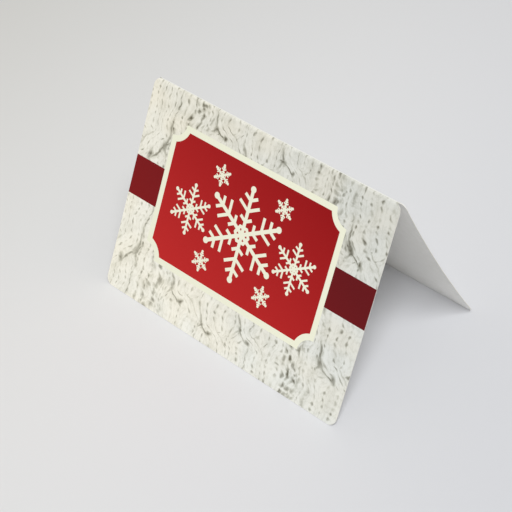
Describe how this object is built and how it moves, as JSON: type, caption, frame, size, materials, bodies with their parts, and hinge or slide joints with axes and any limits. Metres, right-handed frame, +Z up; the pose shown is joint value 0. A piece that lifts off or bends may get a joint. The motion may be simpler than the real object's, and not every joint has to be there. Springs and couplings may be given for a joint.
{
  "type": "folded greeting card",
  "caption": "Folded card standing open like a tent, printed on its front with a cable knit pattern, a ribbon stripe and a red label panel with scooped corners.",
  "frame": {"origin": "on the surface the card stands on, at the middle of its footprint", "axes": "+X along the fold, left to right as the printed panel is read; -Y is the printed front; +Z up"},
  "size_m": [0.1778, 0.1154, 0.1131],
  "materials": {
    "card_stock": "satin"
  },
  "bodies": {
    "root": {"card": "card_stock"}
  },
  "joints": []
}
